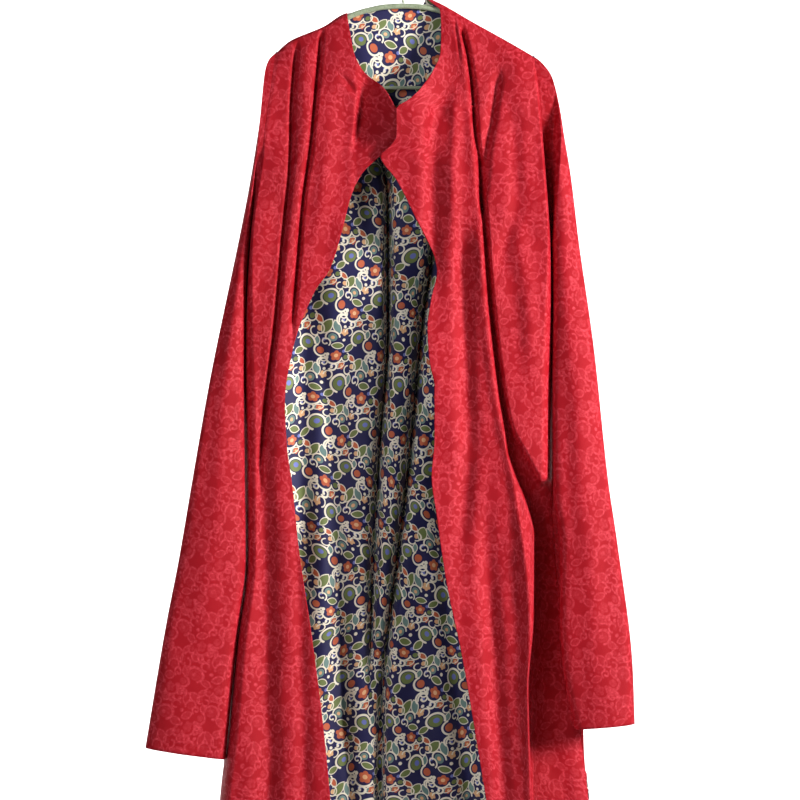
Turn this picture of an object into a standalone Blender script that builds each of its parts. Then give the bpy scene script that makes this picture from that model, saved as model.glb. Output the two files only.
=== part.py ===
"""Lined, open-front hanfu robe hung on a tube hanger.

Metres, +Z up, the front facing -Y. The origin is the inner top of the hanger's hook, where a rail carries it.
Tables are in millimetres: drop is the distance below that point, x is the distance to the right of it.
"""

import math

import bmesh
import bpy
import numpy as np

MM = 0.001
HEM_DROP = 1385  # neck to hem is 1.30 m
CLOTH = 1.6  # outer cloth and lining, felled together
BACK_CLOTH, LINING_CLOTH = 1.2, 1.0
SEAM_GAP = 0.3
LINING_GAP = 0.5  # the lining hangs this far inside the back
LINING_HEM = 15  # the lining ends this far above the hem
BAR_RADIUS, LOWER_BAR_RADIUS, HOOK_WIRE_RADIUS = 4.0, 2.4, 2.0
TUBE_SIDES = 8
HOOK_INNER_RADIUS = 19.0
HOOK_ARC = (-20, 216, 12)  # degrees: from, to and each step
ARCH_TOP_DROP = 72  # the hook's stem ends on the middle of the arch
BAR_UNDER_CLOTH = 6.4  # centre of an arm below the shoulder line
LOWER_BAR_DROP = 191
LOWER_BAR_HALF_LENGTH = 179
SHOULDER_DROP = 110  # middle of the sloping shoulder lines, where a search for their points starts
SHOULDER_STEPS = 80
FRONT_TURN, BACK_TURN = 6.4, 7.4  # radius of each face's turn over the arms
TURN_ANGLES = (0, 32, 62, 90)
LEAVE_ARM = 70  # below the arms, the length over which a face takes its own depth
HANGER_CLEAR_DROP, HANGER_CLEAR_LENGTH, MOST_HOLLOW = 230, 250, 60  # no trough reaches the hanger's bars
LAP = 3.0  # how far the right front stands in front of the left one where they lap
LAP_END_DROP, LAP_END_LENGTH = 400, 90
LAP_END_X, LAP_END_WIDTH = 110, 60
NECK_LEFT, NECK_RIGHT, NECK_RAMP = -84, 38, 9
ARMPIT_DROP = 420
ARMHOLE_HALF_DEPTH = 15
SIDE_RADIUS, SIDE_RADIUS_GROWTH = 6, 14  # rounding of the body's sides, and how much larger it gets
SIDE_GROWTH_DROP, SIDE_GROWTH_LENGTH = 150, 450
SIDE_BLEND = 50  # beside a seam, the width over which a face comes clear of it
MIN_ROUNDING = 3  # least depth between a face and its seam
FRONT_SIDE_SHARE, BACK_SIDE_SHARE = 0.78, 0.1  # share of the columns at which a panel turns round the side
RIDGE_BEFORE, RIDGE_AFTER = (0.58, -3), (0.8, 17)  # share of the columns, and distance from the ridge
RIDGE_FLANK = 16  # from the ridge to the floor of the hollow behind it
FOLD_RAMP = 60  # how far below the shoulder line a fold takes to reach its depth
FOLD_START, FOLD_FADE_IN, FOLD_FADE_OUT = 30, 90, 0.25
FRONT_COLUMNS_LEFT, FRONT_COLUMNS_RIGHT, BACK_COLUMNS = 16, 21, 31
FRONT_ROWS, BACK_ROWS = (250, 12, 14), (200, 4, 15)  # end of the close rows, how many, how many wide ones
LINING_FIRST_ROW, LINING_END_COLUMNS = 2, 4
SLEEVE_RING_COUNT, SLEEVE_AROUND, RING_SPACING = 20, 24, 1.15
SLEEVE_FOLD_FADE = 0.2
SLEEVE_SQUARENESS, SLEEVE_SQUARE_FROM = 0.35, 0.3  # its section grows fuller over the first of its length
SLEEVE_LEAST_DEPTH = 0.2  # share of its depth that a fold leaves
CREASE_ANGLE = 50


def table(names, *rows):
    """A table with named columns, a row for each section or fold."""
    return dict(zip(names.split(), (np.array(column, float) for column in zip(*rows))))


SHOULDER_LEFT = table(
    "x drop",
    (-184, 140),
    (-164, 123),
    (-116, 102),
    (-82, 82),
)
SHOULDER_RIGHT = table(
    "x drop",
    (34, 60),
    (49, 66),
    (106, 98),
    (151, 123),
    (190, 146),
)
SHOULDERS_AND_NECK = table(
    "x drop",
    (-184, 140),
    (-164, 123),
    (-116, 102),
    (-82, 82),
    (-62, 79),
    (-30, 74),
    (0, 72),
    (27, 73),
    (34, 60),
    (49, 66),
    (106, 98),
    (151, 123),
    (190, 146),
)
# The left front's free edge: neck, the corner hidden under the lap, then the opening.
EDGE_LEFT = table(
    "drop x",
    (82, -82),
    (110, -77),
    (142, -71),
    (168, -58),
    (193, -29),
    (209, -19),
    (222, -12),
    (239, 0),
    (265, -4),
    (280, -17),
    (293, -33),
    (319, -60),
    (348, -74),
    (401, -88),
    (457, -106),
    (488, -127),
    (573, -159),
    (649, -170),
    (712, -167),
    (764, -160),
    (876, -148),
    (993, -130),
    (1137, -112),
    (1224, -104),
    (1385, -92),
)
EDGE_RIGHT = table(
    "drop x",
    (60, 34),
    (67, 40),
    (80, 54),
    (110, 55),
    (142, 54),
    (168, 44),
    (193, 28),
    (209, 13),
    (219, -2),
    (223, -10),
    (265, -10),
    (280, -19),
    (293, -33),
    (328, -9),
    (380, 17),
    (438, 45),
    (459, 49),
    (497, 41),
    (542, 35),
    (590, 38),
    (625, 45),
    (702, 45),
    (754, 41),
    (809, 48),
    (905, 62),
    (1010, 84),
    (1144, 107),
    (1224, 120),
    (1385, 142),
)
# Where the body ends at each side: the armhole down to ARMPIT_DROP, then the side seam.
SIDE_LEFT = table(
    "drop x seam_y",
    (140, -184, 0),
    (280, -203, 0),
    (420, -222, 0),
    (620, -232, 10),
    (874, -231, 20),
    (993, -244, 22),
    (1137, -257, 22),
    (1224, -267, 22),
    (1385, -276, 22),
)
SIDE_RIGHT = table(
    "drop x seam_y",
    (146, 190, 0),
    (200, 198, 0),
    (283, 205, 0),
    (420, 214, 0),
    (568, 217, 7),
    (800, 218, 18),
    (960, 232, 22),
    (1123, 258, 24),
    (1224, 271, 25),
    (1385, 281, 25),
)
# The right front's large fold: its ridge hides a deep hollow between front and sleeve lower down.
RIDGE_RIGHT = table(
    "drop x hollow",
    (210, 134, 9),
    (289, 121, 14),
    (370, 113, 15),
    (497, 122, 10),
    (635, 138, 8),
    (720, 151, 16),
    (799, 176, 38),
    (850, 188, 52),
    (961, 187, 56),
    (1060, 180, 58),
    (1224, 185, 60),
    (1385, 190, 60),
)
# How far each face stands from the hanger's plane, beyond its turn over the arm.
DEPTH = table(
    "drop front back",
    (60, 0, 0),
    (150, 5, 4),
    (300, 16, 12),
    (500, 28, 22),
    (800, 38, 30),
    (1100, 44, 36),
    (1385, 48, 40),
)
# Each sleeve's two creases. forward is how far its middle stands in front of the hanger's plane.
SLEEVE_OUTER_LEFT = table(
    "drop x",
    (140, -184.3),
    (152, -195),
    (168, -200),
    (213, -205),
    (258, -211),
    (332, -223),
    (390, -234),
    (464, -249),
    (620, -280),
    (764, -305),
    (876, -324),
    (968, -342),
    (1146, -372),
)
SLEEVE_INNER_LEFT = table(
    "drop x forward",
    (420, -222.3, 0),
    (440, -225, 1),
    (520, -228, 11),
    (620, -230, 20),
    (874, -227, 26),
    (993, -240, 26),
    (1163, -256, 26),
)
SLEEVE_OUTER_RIGHT = table(
    "drop x",
    (146, 190.3),
    (155, 201),
    (178, 217),
    (209, 226),
    (265, 235),
    (320, 244),
    (412, 255),
    (568, 276),
    (760, 296),
    (850, 309),
    (1028, 331),
    (1111, 334),
)
SLEEVE_INNER_RIGHT = table(
    "drop x forward",
    (420, 214.3, 0),
    (440, 216, 2),
    (520, 217, 11),
    (620, 216, 20),
    (780, 217, 27),
    (850, 226, 30),
    (961, 226, 31),
    (1028, 230, 32),
    (1119, 247, 32),
)
# Along a sleeve, from the armhole at 0 to the cuff at 1: where its creases have got to, and how thick it is.
SLEEVE_RINGS = table(
    "share outer_run inner_run half_depth",
    (0.00, 0.00, 0.00, 15),
    (0.06, 0.05, 0.01, 17),
    (0.14, 0.14, 0.03, 20),
    (0.24, 0.27, 0.07, 22),
    (0.34, 0.39, 0.17, 24),
    (0.60, 0.62, 0.48, 26),
    (1.00, 1.00, 1.00, 28),
)

# Folds that fall down a panel: x is read at the fold's top, middle and end, and a trough's depth is above 0.
FOLD_COLUMNS = "top end x_top x_middle x_end width depth"
FOLDS_LEFT = table(
    FOLD_COLUMNS,
    (101, 610, -117, -143, -172, 9, 18),
    (124, 900, -155, -178, -222, 10, 20),
    (620, 1500, -196, -190, -178, 20, 8),
    (700, 1500, -140, -142, -134, 14, 5),
)
FOLDS_RIGHT = table(
    FOLD_COLUMNS,
    (107, 400, 85, 99, 112, 8, 16),
    (205, 440, 55, 40, 42, 14, 5),
    (400, 900, 84, 92, 86, 16, 8),
    (280, 500, 160, 163, 132, 14, 5),
    (880, 1500, 110, 128, 150, 14, 7),
)
FOLDS_BACK = table(
    FOLD_COLUMNS,
    (290, 960, -33, -24, -45, 17, 18),
    (420, 1500, 32, 8, -38, 16, 16),
    (150, 1500, -135, -150, -180, 24, 14),
    (170, 1500, 140, 150, 175, 24, 15),
    (560, 1500, 88, 96, 112, 20, 10),
    (600, 1500, -88, -96, -112, 18, 9),
)
HANGER_LEFT_X = (-164, -148, -132, -116, -99, -84)
HANGER_RIGHT_X = (84, 100, 116, 132, 150, 168)
HANGER_ARCH = table(
    "x drop",
    (-66, 82.5),
    (-48, 77.5),
    (-27, 73.5),
    (0, 72),
    (27, 73.5),
    (48, 77.5),
    (66, 83.5),
)
HANGER_LEFT_END = table("x drop", (-174, 176), (-177.5, 166), (-178.5, 155), (-174, 144))
HANGER_RIGHT_END = table("x drop", (177, 149), (180, 158), (178.5, 168), (174, 177))
HOOK_STEM = table("x below", (6, 7), (1.5, 12), (0, 18))
# Folds along a sleeve. around is 0 at the outer crease, 1 at the inner one and 2 at the outer again.
FOLDS_SLEEVE = table(
    "around start end width depth",
    (0.35, 0.15, 0.95, 0.10, 6),
    (0.70, 0.30, 1.20, 0.08, 6),
    (1.32, 0.12, 1.20, 0.11, 12),
    (1.66, 0.20, 0.90, 0.10, 9),
)


def along(rows, column, at, key="drop"):
    """A column's value at the given places, by a cubic that never overshoots the table's rows."""
    place, value = rows[key], rows[column]
    slope = np.diff(value) / np.diff(place)
    before, after = slope[:-1], slope[1:]
    same_way = before * after > 0
    inner = np.where(same_way, 2 * before * after / np.where(same_way, before + after, 1), 0)
    tangent = np.concatenate([slope[:1], inner, slope[-1:]])
    at = np.clip(at, place[0], place[-1])
    k = np.clip(np.searchsorted(place, at, side="right") - 1, 0, len(place) - 2)
    step = place[k + 1] - place[k]
    t = (at - place[k]) / step
    from_here = value[k] * (1 + 2 * t) * (1 - t) ** 2 + step * tangent[k] * t * (1 - t) ** 2
    from_next = value[k + 1] * t * t * (3 - 2 * t) - step * tangent[k + 1] * t * t * (1 - t)
    return from_here + from_next


def ramp(value):
    """0 to 1 with level ends."""
    t = np.clip(value, 0, 1)
    return t * t * (3 - 2 * t)


def spread(share, *stations):
    """x between stations, each given as the share of the columns it lies at and its own x."""
    x = stations[0][1]
    for (here, x_here), (there, x_there) in zip(stations, stations[1:]):
        x = x + (x_there - x_here) * np.clip((share - here) / (there - here), 0, 1)
    return x


def drops_of(x_of, shoulder, columns, rows):
    """Drop of each point: columns start on the shoulder line and end at the hem."""
    top = np.full(columns.shape, float(SHOULDER_DROP))
    for _ in range(SHOULDER_STEPS):
        top = (top + along(shoulder, "drop", x_of(columns, top), key="x")) / 2
    return top, top + (HEM_DROP - top) * rows


def row_shares(turn_radius, near_end, near, far):
    """Shares of the panel's length: the turn over the arm, close ones past the neck, then wide ones."""
    length = HEM_DROP - SHOULDER_DROP
    turn = [turn_radius * (1 - math.cos(math.radians(angle))) / length for angle in TURN_ANGLES]
    close = np.linspace(turn[-1], near_end / length, near + 1)[1:]
    wide = np.linspace(near_end / length, 1, far + 1)[1:]
    return np.concatenate([turn, close, wide])[:, None]


def fold_depth(folds, x, drop, below_top):
    """Sum of the troughs at each point: a trough has soft flanks and fades in and out along its length."""
    total = np.zeros_like(x)
    for top, end, x_top, x_middle, x_end, width, depth in zip(*folds.values()):
        t = np.clip((drop - top) / (min(end, HEM_DROP) - top), 0, 1)
        centre = x_top * (1 - t) * (1 - 2 * t) + 4 * x_middle * t * (1 - t) + x_end * t * (2 * t - 1)
        fade = ramp((drop - top + FOLD_START) / FOLD_FADE_IN)
        fade *= ramp((end - drop) / (FOLD_FADE_OUT * (end - top)))
        total += depth * fade * np.exp(-(((x - centre) / width) ** 2))
    return total * ramp(below_top / FOLD_RAMP)


def turn_depth(radius, below_top):
    """How far a face stands out while it turns over an arm of the hanger."""
    left = 1 - np.clip(below_top / radius, 0, 1)
    return radius * np.sqrt(1 - left * left)


def face_depth(face, radius, drop, below_top, trough):
    """How far a face stands from the hanger's plane. Beside the hanger no trough reaches its bars."""
    turn = turn_depth(radius, below_top)
    depth = turn + along(DEPTH, face, drop) * (1 - np.exp(-below_top / LEAVE_ARM))
    clear = turn - MOST_HOLLOW * ramp((drop - HANGER_CLEAR_DROP) / HANGER_CLEAR_LENGTH)
    return SEAM_GAP / 2 + np.maximum(depth - trough, clear)


def armhole_half_depth(drop, top):
    t = np.clip((drop - top) / (ARMPIT_DROP - top), 0, 1)
    return ARMHOLE_HALF_DEPTH * np.sqrt(4 * t * (1 - t))


def side_radius(drop):
    return SIDE_RADIUS + SIDE_RADIUS_GROWTH * ramp((drop - SIDE_GROWTH_DROP) / SIDE_GROWTH_LENGTH)


def turned(face, x_side, y_side, radius, turn, outwards):
    """Rounds the end of a section from its face to the seam: turn runs from 0 to 1."""
    x_face, y_face = face
    near_side = ramp(1 - np.abs(x_face - x_side) / SIDE_BLEND)
    y_clear = outwards * np.maximum(outwards * y_face, outwards * y_side + MIN_ROUNDING)
    y_face = y_face + (y_clear - y_face) * near_side
    angle = turn * math.pi / 2
    x = x_side - np.sign(x_side) * radius * (1 - np.sin(angle))
    y = y_side + (y_face - y_side) * np.cos(angle)
    return np.where(turn > 0, x, x_face), np.where(turn > 0, y, y_face)


def front_points(edge, side, shoulder, folds, columns, rows, right):
    """Outer points of a front, rows from the shoulder line down, each from the free edge to the side."""
    sign = 1 if right else -1
    flat = FRONT_SIDE_SHARE

    def x_of(share, drop):
        x_edge = along(edge, "x", drop)
        x_turn = along(side, "x", drop) - sign * side_radius(drop)
        if right:
            ridge = along(RIDGE_RIGHT, "x", drop)
            stations = [(at, ridge + offset) for at, offset in (RIDGE_BEFORE, RIDGE_AFTER)]
            x = spread(share / flat, (0, x_edge), *stations, (1, x_turn))
        else:
            x = spread(share / flat, (0, x_edge), (1, x_turn))
        turn = np.clip((share - flat) / (1 - flat), 0, 1)
        return x + sign * side_radius(drop) * np.sin(turn * math.pi / 2)

    share = np.linspace(0, 1, columns)[None, :]
    top, drop = drops_of(x_of, shoulder, share, rows)
    below_top = drop - top
    x = x_of(share, drop)
    x_side = along(side, "x", drop)
    x_face = np.where(share > flat, x_side - sign * side_radius(drop), x)
    trough = fold_depth(folds, x_face, drop, below_top)
    if right:
        from_ridge = (x_face - along(RIDGE_RIGHT, "x", drop)) / RIDGE_FLANK
        trough += along(RIDGE_RIGHT, "hollow", drop) * ramp(from_ridge) * ramp(below_top / FOLD_RAMP)
    y_face = -face_depth("front", FRONT_TURN, drop, below_top, trough)
    y_side = along(side, "seam_y", drop) - SEAM_GAP / 2 - armhole_half_depth(drop, side["drop"][0])
    turn = np.clip((share - flat) / (1 - flat), 0, 1)
    x, y = turned((x, y_face), x_side, y_side, side_radius(drop), turn, -1)
    if right:
        lap = ramp((LAP_END_DROP - drop) / LAP_END_LENGTH) * ramp((LAP_END_X - x) / LAP_END_WIDTH)
        y = y - LAP * lap * ramp(below_top / FOLD_RAMP)
    return np.stack([x, y, -drop], axis=-1)


def back_points(columns, rows):
    """Outer points of the back, from the left side to the right one."""
    at_side = BACK_SIDE_SHARE

    def ends_of(drop):
        left = along(SIDE_LEFT, "x", drop) + side_radius(drop)
        return left, along(SIDE_RIGHT, "x", drop) - side_radius(drop)

    def turn_of(way):
        return np.clip((way - 0.5 + at_side) / at_side, 0, 1)

    def x_of(share, drop):
        left, right = ends_of(drop)
        x = spread(share, (at_side, left), (1 - at_side, right))
        turn = turn_of(np.abs(share - 0.5))
        return x + np.sign(share - 0.5) * side_radius(drop) * np.sin(turn * math.pi / 2)

    share = np.linspace(0, 1, columns)[None, :]
    top, drop = drops_of(x_of, SHOULDERS_AND_NECK, share, rows)
    x = x_of(share, drop)
    in_neck = ramp((x - NECK_LEFT) / NECK_RAMP) * ramp((NECK_RIGHT - x) / NECK_RAMP)
    below_top = drop - top + 2 * BACK_TURN * in_neck
    x_face = np.clip(x, *ends_of(drop))
    trough = fold_depth(FOLDS_BACK, x_face, drop, below_top)
    y = face_depth("back", BACK_TURN, drop, below_top, -trough)
    for sign, side in ((-1, SIDE_LEFT), (1, SIDE_RIGHT)):
        turn = turn_of(sign * (share - 0.5))
        y_side = along(side, "seam_y", drop) + SEAM_GAP / 2 + armhole_half_depth(drop, side["drop"][0])
        x, y = turned((x, y), along(side, "x", drop), y_side, side_radius(drop), turn, 1)
    return np.stack([x, y, -drop], axis=-1)


def sleeve_points(outer, inner, side, rings, around):
    """Outer points of a sleeve: rings that fan out from the armpit, then go down level to the cuff."""
    sign = np.sign(side["x"][0])
    share = np.linspace(0, 1, rings)[:, None] ** RING_SPACING
    turn = np.linspace(0, 2, around, endpoint=False)[None, :]
    outer_run = along(SLEEVE_RINGS, "outer_run", share, key="share")
    inner_run = along(SLEEVE_RINGS, "inner_run", share, key="share")
    outer_drop = outer["drop"][0] + outer_run * (outer["drop"][-1] - outer["drop"][0])
    inner_drop = inner["drop"][0] + inner_run * (inner["drop"][-1] - inner["drop"][0])
    across = (1 - np.cos(turn * math.pi)) / 2
    drop = outer_drop + (inner_drop - outer_drop) * across
    x_outer, x_inner = along(outer, "x", outer_drop), along(inner, "x", inner_drop)
    x = x_outer + (x_inner - x_outer) * across
    at_armhole = along(side, "x", drop) + sign * SEAM_GAP
    x = np.where(share == 0, at_armhole, x)
    half_depth = along(SLEEVE_RINGS, "half_depth", share, key="share")
    fuller = 1 - SLEEVE_SQUARENESS * ramp(share / SLEEVE_SQUARE_FROM)
    round_ends = np.abs(np.sin(turn * math.pi)) ** fuller
    trough = np.zeros_like(x)
    for centre, start, end, width, depth in zip(*FOLDS_SLEEVE.values()):
        fade = ramp((share - start) / SLEEVE_FOLD_FADE) * ramp((end - share) / SLEEVE_FOLD_FADE)
        trough += depth * fade * np.exp(-(((turn - centre) / width) ** 2))
    forward = along(inner, "forward", drop)
    depth = half_depth * round_ends
    depth = np.maximum(depth - trough, SLEEVE_LEAST_DEPTH * depth)
    y = -forward - np.sign(1 - turn) * depth
    return np.stack([x, np.where(turn % 1 == 0, -forward, y), -drop], axis=-1)


def normals_of(points, closed):
    """Unit normals of a grid of points, along the way from its columns to its rows by the right-hand rule."""
    if closed:
        across = np.roll(points, -1, axis=1) - np.roll(points, 1, axis=1)
    else:
        across = np.gradient(points, axis=1)
    normal = np.cross(across, np.gradient(points, axis=0))
    return normal / np.linalg.norm(normal, axis=-1, keepdims=True)


def material(name, colour, roughness, metallic=0.0):
    made = bpy.data.materials.new(name)
    made.use_nodes = True
    shader = made.node_tree.nodes["Principled BSDF"]
    shader.inputs["Base Color"].default_value = (*colour, 1)
    shader.inputs["Roughness"].default_value = roughness
    shader.inputs["Metallic"].default_value = metallic
    return made


def wall(name, outer, inner, closed, finish):
    """One closed wall between two grids of points, with its rim on every free edge."""
    rows, columns = outer.shape[:2]
    shape = bmesh.new()
    sheets = [
        [[shape.verts.new(point * MM) for point in row] for row in sheet] for sheet in (outer, inner)
    ]
    wraps = columns if closed else columns - 1
    for sheet in sheets:
        for r in range(rows - 1):
            for c in range(wraps):
                d = (c + 1) % columns
                shape.faces.new((sheet[r][c], sheet[r][d], sheet[r + 1][d], sheet[r + 1][c]))
    front, back = sheets
    for r in (0, rows - 1):
        for c in range(wraps):
            d = (c + 1) % columns
            shape.faces.new((front[r][c], front[r][d], back[r][d], back[r][c]))
    for c in () if closed else (0, columns - 1):
        for r in range(rows - 1):
            shape.faces.new((front[r][c], front[r + 1][c], back[r + 1][c], back[r][c]))
    bmesh.ops.recalc_face_normals(shape, faces=shape.faces)
    mesh = bpy.data.meshes.new(name)
    shape.to_mesh(mesh)
    shape.free()
    mesh.shade_smooth()
    mesh.set_sharp_from_angle(angle=math.radians(CREASE_ANGLE))
    mesh.materials.append(finish)
    made = bpy.data.objects.new(name, mesh)
    bpy.context.scene.collection.objects.link(made)
    return made


def tube(name, centre, radius, finish):
    """A round bar with flat ends along a list of points."""
    curve = bpy.data.curves.new(name, "CURVE")
    curve.dimensions = "3D"
    curve.bevel_depth = radius * MM
    curve.bevel_resolution = (TUBE_SIDES - 4) // 2
    curve.use_fill_caps = True
    path = curve.splines.new("POLY")
    path.points.add(len(centre) - 1)
    for point, place in zip(path.points, centre):
        point.co = (*(value * MM for value in place), 1)
    curve.materials.append(finish)
    made = bpy.data.objects.new(name, curve)
    bpy.context.scene.collection.objects.link(made)
    return made


def make_robe(red, print_lining):
    rows = row_shares(FRONT_TURN, *FRONT_ROWS)
    tables = (EDGE_LEFT, SIDE_LEFT, SHOULDER_LEFT, FOLDS_LEFT)
    left = front_points(*tables, FRONT_COLUMNS_LEFT, rows, right=False)
    tables = (EDGE_RIGHT, SIDE_RIGHT, SHOULDER_RIGHT, FOLDS_RIGHT)
    right = front_points(*tables, FRONT_COLUMNS_RIGHT, rows, right=True)
    for name, points, side, inwards in (
        ("front_left", left, SIDE_LEFT, -1),
        ("front_right", right, SIDE_RIGHT, 1),
    ):
        inner = points + inwards * CLOTH * normals_of(points, False)
        seam = along(side, "seam_y", -inner[..., 2]) - SEAM_GAP / 2
        inner[..., 1] = np.minimum(inner[..., 1], seam)
        wall(name, points, inner, False, red)

    back = back_points(BACK_COLUMNS, row_shares(BACK_TURN, *BACK_ROWS))
    normal = normals_of(back, False)
    inner = back - BACK_CLOTH * normal
    end = LINING_END_COLUMNS + 1
    for columns, side in ((slice(0, end), SIDE_LEFT), (slice(-end, None), SIDE_RIGHT)):
        seam = along(side, "seam_y", -inner[:, columns, 2]) + SEAM_GAP / 2
        inner[:, columns, 1] = np.maximum(inner[:, columns, 1], seam)
    inner[0, :, 1] = np.maximum(inner[0, :, 1], SEAM_GAP / 2)
    wall("back", back, inner, False, red)
    lining = (slice(LINING_FIRST_ROW, None), slice(LINING_END_COLUMNS, -LINING_END_COLUMNS))
    face = (back - (BACK_CLOTH + LINING_GAP) * normal)[lining]
    face[-1, :, 2] += LINING_HEM
    wall("back_lining", face, face - LINING_CLOTH * normal[lining], False, print_lining)

    for name, outer, inner, side, inwards in (
        ("sleeve_left", SLEEVE_OUTER_LEFT, SLEEVE_INNER_LEFT, SIDE_LEFT, 1),
        ("sleeve_right", SLEEVE_OUTER_RIGHT, SLEEVE_INNER_RIGHT, SIDE_RIGHT, -1),
    ):
        points = sleeve_points(outer, inner, side, SLEEVE_RING_COUNT, SLEEVE_AROUND)
        normal = normals_of(points, True)
        normal[0, :, 0] = 0
        normal[0] /= np.linalg.norm(normal[0], axis=-1, keepdims=True)
        wall(name, points, points + inwards * CLOTH * normal, True, red)


def make_hanger(paint):
    def under_cloth(shoulder, x):
        here, beside = along(shoulder, "drop", np.array([x, x + 1.0]), key="x")
        return here + BAR_UNDER_CLOTH * math.hypot(1, beside - here)

    foot_drop = LOWER_BAR_DROP - LOWER_BAR_RADIUS - SEAM_GAP
    centre = [(HANGER_LEFT_END["x"][0], foot_drop)]
    centre += zip(*HANGER_LEFT_END.values())
    centre += [(x, under_cloth(SHOULDER_LEFT, x)) for x in HANGER_LEFT_X]
    centre += zip(*HANGER_ARCH.values())
    centre += [(x, under_cloth(SHOULDER_RIGHT, x)) for x in HANGER_RIGHT_X]
    centre += zip(*HANGER_RIGHT_END.values())
    centre += [(HANGER_RIGHT_END["x"][-1], foot_drop)]
    tube("hanger_arms", [(x, 0, -drop) for x, drop in centre], BAR_RADIUS, paint)
    bar = [(x, 0, -LOWER_BAR_DROP) for x in (-LOWER_BAR_HALF_LENGTH, LOWER_BAR_HALF_LENGTH)]
    tube("hanger_bar", bar, LOWER_BAR_RADIUS, paint)

    radius = HOOK_INNER_RADIUS + HOOK_WIRE_RADIUS
    hook = []
    for angle in range(*HOOK_ARC):
        turn = math.radians(angle)
        hook.append((-radius * math.cos(turn), 0, -HOOK_INNER_RADIUS + radius * math.sin(turn)))
    arc_end = hook[-1][2]
    hook += [(x, 0, arc_end - below) for x, below in zip(*HOOK_STEM.values())]
    hook.append((0, 0, -(ARCH_TOP_DROP - BAR_RADIUS - SEAM_GAP)))
    tube("hanger_hook", hook, HOOK_WIRE_RADIUS, paint)


def main():
    for old in list(bpy.data.objects):
        bpy.data.objects.remove(old)
    red = material("red_jacquard", (0.55, 0.02, 0.035), 0.6)
    print_lining = material("printed_lining", (0.12, 0.12, 0.25), 0.6)
    paint = material("green_grey_hanger", (0.45, 0.5, 0.4), 0.4)
    make_robe(red, print_lining)
    make_hanger(paint)


main()
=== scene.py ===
"""The looks of a lined, open-front hanfu robe on a tube hanger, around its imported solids.

Metres, +Z up, the front facing -Y. The origin is the inner top of the hanger's hook. Tables are in millimetres:
drop is the distance below that point, and x the distance to the right of it.
"""

import math

import bpy
import numpy as np
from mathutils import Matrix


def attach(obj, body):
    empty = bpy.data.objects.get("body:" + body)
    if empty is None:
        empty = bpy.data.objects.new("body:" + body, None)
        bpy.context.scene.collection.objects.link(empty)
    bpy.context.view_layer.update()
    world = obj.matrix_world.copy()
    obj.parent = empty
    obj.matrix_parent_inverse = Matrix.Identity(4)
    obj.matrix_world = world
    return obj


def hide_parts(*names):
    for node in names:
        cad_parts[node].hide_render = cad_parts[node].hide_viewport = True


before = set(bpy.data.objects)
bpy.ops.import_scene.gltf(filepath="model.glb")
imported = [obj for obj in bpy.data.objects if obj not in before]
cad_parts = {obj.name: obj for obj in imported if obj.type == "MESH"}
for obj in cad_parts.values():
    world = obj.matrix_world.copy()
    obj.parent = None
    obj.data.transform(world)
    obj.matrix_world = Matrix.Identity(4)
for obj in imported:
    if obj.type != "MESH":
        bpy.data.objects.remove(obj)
scene = bpy.context.scene
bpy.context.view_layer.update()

# Hanger
# A steel tube bent to the shoulders and dipped in pale grey-green plastic. Its lower bar is pressed in between the
# ends of the arms, and the wire hook is set in the top of the arch.

MM = 0.001
BAR_RADIUS, LOWER_BAR_RADIUS, HOOK_WIRE_RADIUS = 4.0, 2.4, 2.0
BAR_UNDER_CLOTH = 6.4  # centre of an arm below the shoulder line
LOWER_BAR_DROP = 191
HOOK_INNER_RADIUS = 19.0
SOLID_GAP = 0.3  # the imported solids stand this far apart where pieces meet


def table(names, *rows):
    """A table with named columns."""
    return dict(zip(names.split(), (np.array(column, float) for column in zip(*rows))))


def along(rows, column, at, key="drop"):
    """A column's value at the given places, by a cubic that never overshoots the table's rows."""
    place, value = rows[key], rows[column]
    slope = np.diff(value) / np.diff(place)
    before, after = slope[:-1], slope[1:]
    same_way = before * after > 0
    inner = np.where(same_way, 2 * before * after / np.where(same_way, before + after, 1), 0)
    tangent = np.concatenate([slope[:1], inner, slope[-1:]])
    at = np.clip(at, place[0], place[-1])
    k = np.clip(np.searchsorted(place, at, side="right") - 1, 0, len(place) - 2)
    step = place[k + 1] - place[k]
    t = (at - place[k]) / step
    from_here = value[k] * (1 + 2 * t) * (1 - t) ** 2 + step * tangent[k] * t * (1 - t) ** 2
    from_next = value[k + 1] * t * t * (3 - 2 * t) - step * tangent[k + 1] * t * t * (1 - t)
    return from_here + from_next


SHOULDER_LEFT = table("x drop", (-184, 140), (-164, 123), (-116, 102), (-82, 82))
SHOULDER_RIGHT = table("x drop", (34, 60), (49, 66), (106, 98), (151, 123), (190, 146))


def linear(red, green, blue):
    """The scene's colour for an sRGB one given from 0 to 255."""
    values = (channel / 255 for channel in (red, green, blue))
    return (*(v / 12.92 if v < 0.04045 else ((v + 0.055) / 1.055) ** 2.4 for v in values), 1)


def feed(tree, socket, value):
    if isinstance(value, bpy.types.NodeSocket):
        tree.links.new(value, socket)
    else:
        socket.default_value = value


def number(tree, operation, *values):
    """A Math node's result."""
    node = tree.nodes.new("ShaderNodeMath")
    node.operation = operation
    for socket, value in zip(node.inputs, values):
        feed(tree, socket, value)
    return node.outputs["Value"]


def mixed(tree, factor, under, over):
    """One colour laid over another by a mask."""
    node = tree.nodes.new("ShaderNodeMix")
    node.data_type = "RGBA"
    for socket, value in zip((node.inputs[0], node.inputs[6], node.inputs[7]), (factor, under, over)):
        feed(tree, socket, value)
    return node.outputs[2]


def noise(tree, place, scale, detail=2.0, dimensions="3D"):
    node = tree.nodes.new("ShaderNodeTexNoise")
    node.noise_dimensions = dimensions
    feed(tree, node.inputs["Vector"], place)
    node.inputs["Scale"].default_value = scale
    node.inputs["Detail"].default_value = detail
    return node.outputs["Fac"]


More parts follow.
